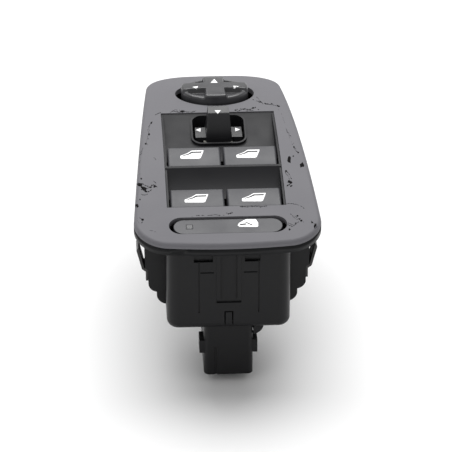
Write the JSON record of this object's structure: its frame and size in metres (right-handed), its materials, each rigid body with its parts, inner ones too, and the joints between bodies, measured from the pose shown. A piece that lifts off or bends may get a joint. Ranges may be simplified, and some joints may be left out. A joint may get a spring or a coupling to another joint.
{
  "type": "power window switch",
  "caption": "Driver's door switch panel: arched tapering bezel with rocking window buttons, mirror knob, selector lever and lockout button over a clip-in housing.",
  "frame": {"origin": "middle of the arched rim that rests on the door trim, on the panel's centre line", "axes": "+Z out of the trim, +Y to the far, narrow end with the mirror knob, +X right"},
  "size_m": [0.0776, 0.165, 0.083],
  "materials": {
    "soft_touch_grey": "satin soft-touch coating, worn",
    "well_black": "matt",
    "button_grey": "satin",
    "knob_black": "satin",
    "housing_black": "fine grained",
    "frame_plastic": "matt",
    "slider_plastic": "natural",
    "pin_steel": "drawn",
    "clip_steel": "black phosphated",
    "board_green": "lacquered",
    "silicone": "matt",
    "chip_black": "matt",
    "relay_blue": "moulded",
    "can_alu": "bright",
    "contact_brass": "tinned",
    "lamp": "clear",
    "indicator": "smoked"
  },
  "bodies": {
    "root": {"bezel": "soft_touch_grey", "finger_well": "well_black", "front_pivot_pin": "pin_steel", "rear_pivot_pin": "pin_steel", "switch_frame": "frame_plastic", "frame_screws": "pin_steel", "switch_board": "board_green", "silicone_mat": "silicone", "control_chip": "chip_black", "board_link_pins": "contact_brass", "power_board": "board_green", "motor_relays": "relay_blue", "capacitors": "can_alu", "backlight_leds": "lamp", "lower_housing": "housing_black", "connector_shroud": "housing_black", "connector_pins": "contact_brass", "left_spring_clip": "clip_steel", "right_spring_clip": "clip_steel"},
    "window_front_left": {"window_button_front_left": "button_grey", "window_rocker_front_left": "slider_plastic"},
    "slider_front_left": {"window_slider_front_left": "slider_plastic"},
    "window_front_right": {"window_button_front_right": "button_grey", "window_rocker_front_right": "slider_plastic"},
    "slider_front_right": {"window_slider_front_right": "slider_plastic"},
    "window_rear_left": {"window_button_rear_left": "button_grey", "window_rocker_rear_left": "slider_plastic"},
    "slider_rear_left": {"window_slider_rear_left": "slider_plastic"},
    "window_rear_right": {"window_button_rear_right": "button_grey", "window_rocker_rear_right": "slider_plastic"},
    "slider_rear_right": {"window_slider_rear_right": "slider_plastic"},
    "gimbal": {"knob_gimbal": "slider_plastic"},
    "knob": {"mirror_knob": "knob_black", "knob_stem": "slider_plastic", "knob_tilt_pin": "pin_steel"},
    "cradle": {"selector_cradle": "slider_plastic", "selector_pin": "pin_steel"},
    "lever": {"selector_lever": "knob_black"},
    "selector_slider": {"selector_slider": "slider_plastic"},
    "lockout": {"lockout_button": "button_grey", "lockout_indicator": "indicator", "lockout_stem": "slider_plastic"}
  },
  "joints": [
    {"name": "window_front_left_rock", "type": "hinge", "parent": "root", "child": "window_front_left", "pos_m": [0, -0.0217, -0.0011], "axis": [1, 0, 0], "range_deg": [-5, 5], "stiffness_Nm_per_rad": 0.35},
    {"name": "slider_front_left_slide", "type": "slide", "parent": "root", "child": "slider_front_left", "axis": [0, 1, 0], "range_m": [-0.0015, 0.0015]},
    {"name": "window_front_right_rock", "type": "hinge", "parent": "root", "child": "window_front_right", "pos_m": [0, -0.0217, -0.0011], "axis": [1, 0, 0], "range_deg": [-5, 5], "stiffness_Nm_per_rad": 0.35},
    {"name": "slider_front_right_slide", "type": "slide", "parent": "root", "child": "slider_front_right", "axis": [0, 1, 0], "range_m": [-0.0015, 0.0015]},
    {"name": "window_rear_left_rock", "type": "hinge", "parent": "root", "child": "window_rear_left", "pos_m": [0, -0.0521, -0.00446], "axis": [1, 0, 0], "range_deg": [-5, 5], "stiffness_Nm_per_rad": 0.35},
    {"name": "slider_rear_left_slide", "type": "slide", "parent": "root", "child": "slider_rear_left", "axis": [0, 1, 0], "range_m": [-0.0015, 0.0015]},
    {"name": "window_rear_right_rock", "type": "hinge", "parent": "root", "child": "window_rear_right", "pos_m": [0, -0.0521, -0.00446], "axis": [1, 0, 0], "range_deg": [-5, 5], "stiffness_Nm_per_rad": 0.35},
    {"name": "slider_rear_right_slide", "type": "slide", "parent": "root", "child": "slider_rear_right", "axis": [0, 1, 0], "range_m": [-0.0015, 0.0015]},
    {"name": "knob_tip_up_down", "type": "hinge", "parent": "root", "child": "gimbal", "pos_m": [0, 0.0472, -0.00743], "axis": [1, 0, 0], "range_deg": [-4, 4], "stiffness_Nm_per_rad": 0.6},
    {"name": "knob_tip_sideways", "type": "hinge", "parent": "gimbal", "child": "knob", "pos_m": [0, 0.0472, -0.00743], "axis": [0, 0.9895, -0.1443], "range_deg": [-4, 4], "stiffness_Nm_per_rad": 0.6},
    {"name": "selector_fold", "type": "hinge", "parent": "root", "child": "cradle", "pos_m": [0, 0.0121, -0.009], "axis": [1, 0, 0], "range_deg": [0, 5], "stiffness_Nm_per_rad": 0.4},
    {"name": "selector_left_right", "type": "hinge", "parent": "cradle", "child": "lever", "pos_m": [0, 0.0121, -0.009], "axis": [0, 1, 0], "range_deg": [-5, 5]},
    {"name": "selector_slide", "type": "slide", "parent": "root", "child": "selector_slider", "axis": [1, 0, 0], "range_m": [-0.001, 0.001]},
    {"name": "lockout_press", "type": "slide", "parent": "root", "child": "lockout", "axis": [0, 0.2089, -0.9779], "range_m": [0, 0.0015], "stiffness_N_per_m": 600}
  ],
  "couplings": [
    {"joint": "slider_front_left_slide", "follows": "window_front_left_rock", "m_per_rad": 0.01345},
    {"joint": "slider_front_right_slide", "follows": "window_front_right_rock", "m_per_rad": 0.01345},
    {"joint": "slider_rear_left_slide", "follows": "window_rear_left_rock", "m_per_rad": 0.01009},
    {"joint": "slider_rear_right_slide", "follows": "window_rear_right_rock", "m_per_rad": 0.01009},
    {"joint": "selector_slide", "follows": "selector_left_right", "m_per_rad": -0.00555}
  ]
}
